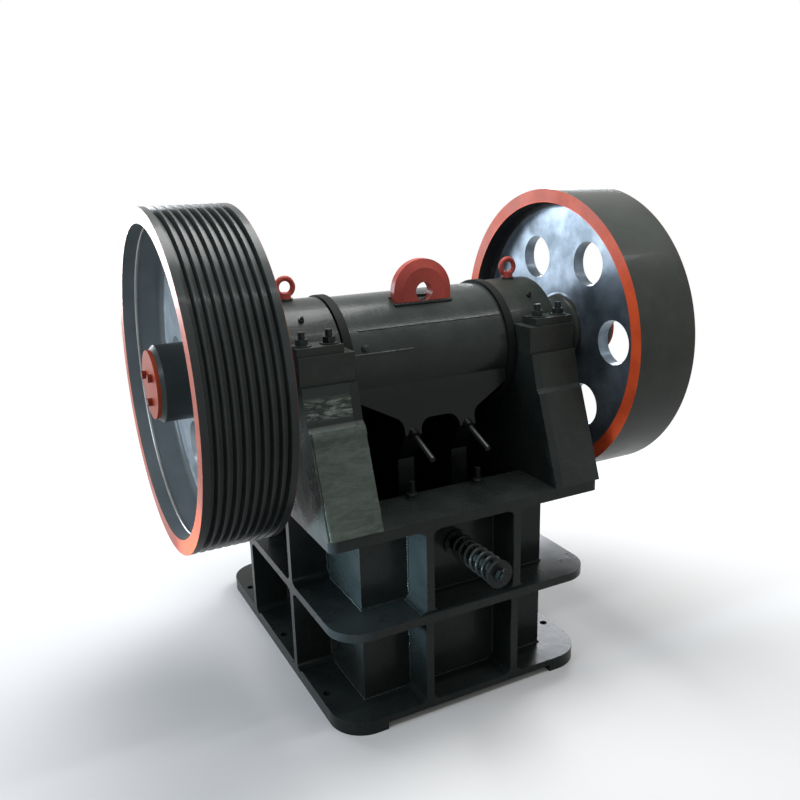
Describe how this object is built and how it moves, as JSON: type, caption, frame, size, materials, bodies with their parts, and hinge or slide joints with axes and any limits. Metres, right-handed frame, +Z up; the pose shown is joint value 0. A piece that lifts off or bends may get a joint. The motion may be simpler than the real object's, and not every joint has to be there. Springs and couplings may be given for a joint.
{
  "type": "jaw crusher",
  "caption": "Single toggle jaw crusher on its own ribbed box frame, with a grooved belt sheave, a flywheel and a rear tension spring.",
  "frame": {"origin": "on the floor, at the middle of the anchor bolt pattern", "axes": "+X along the eccentric shaft towards the flywheel, +Y towards the feed end, +Z up"},
  "size_m": [1.798, 1.476, 1.7],
  "materials": {
    "frame_paint": "dark grey-green gloss paint over rough castings and welds",
    "wheel_paint": "dark grey-green paint, with orange rim faces and a blue-grey web",
    "red_paint": "orange-red paint",
    "jaw_steel": "rough cast manganese steel",
    "shaft_steel": "turned steel",
    "fastener_paint": "black gloss paint on steel"
  },
  "bodies": {
    "frame": {"side_wall_left": "frame_paint", "side_wall_right": "frame_paint", "front_wall": "frame_paint", "rear_wall": "frame_paint", "base_side_flanges": "frame_paint", "base_end_flanges": "frame_paint", "middle_side_flanges": "frame_paint", "middle_end_flanges": "frame_paint", "bearing_shelves": "frame_paint", "feed_rim": "frame_paint", "rear_ledge": "frame_paint", "rear_ribs": "frame_paint", "front_ribs": "frame_paint", "side_ribs_left": "frame_paint", "side_ribs_right": "frame_paint", "bearing_pedestal_left": "frame_paint", "bearing_pedestal_right": "frame_paint", "bearing_cap_left": "frame_paint", "bearing_cap_right": "frame_paint", "cap_bolts_left": "fastener_paint", "cap_bolts_right": "fastener_paint", "eye_bolt_left": "red_paint", "eye_bolt_right": "red_paint", "main_bearing_left": "frame_paint", "main_bearing_right": "frame_paint", "fixed_jaw_plate": "jaw_steel", "cheek_plate_left": "jaw_steel", "cheek_plate_right": "jaw_steel", "toggle_block": "frame_paint", "adjusting_studs": "fastener_paint", "spring_seat": "fastener_paint"},
    "rotor": {"eccentric_shaft": "shaft_steel", "sheave": "wheel_paint", "flywheel": "wheel_paint", "hub_cap_left": "red_paint", "hub_cap_right": "red_paint"},
    "swing_jaw": {"pitman": "frame_paint", "movable_jaw_plate": "jaw_steel", "seal_rings": "frame_paint", "lifting_lug": "red_paint", "clamp_rods": "fastener_paint", "tension_rod": "fastener_paint", "spring_washer": "fastener_paint", "tension_spring": "fastener_paint", "toggle_plate": "frame_paint"}
  },
  "joints": [
    {"name": "rotor_spin", "type": "hinge", "parent": "frame", "child": "rotor", "pos_m": [0, -0.185, 1.16], "axis": [1, 0, 0], "continuous": true},
    {"name": "jaw_swing", "type": "hinge", "parent": "frame", "child": "swing_jaw", "pos_m": [0, -0.185, 1.16], "axis": [1, 0, 0], "range_deg": [-0.55, 0.55]}
  ]
}
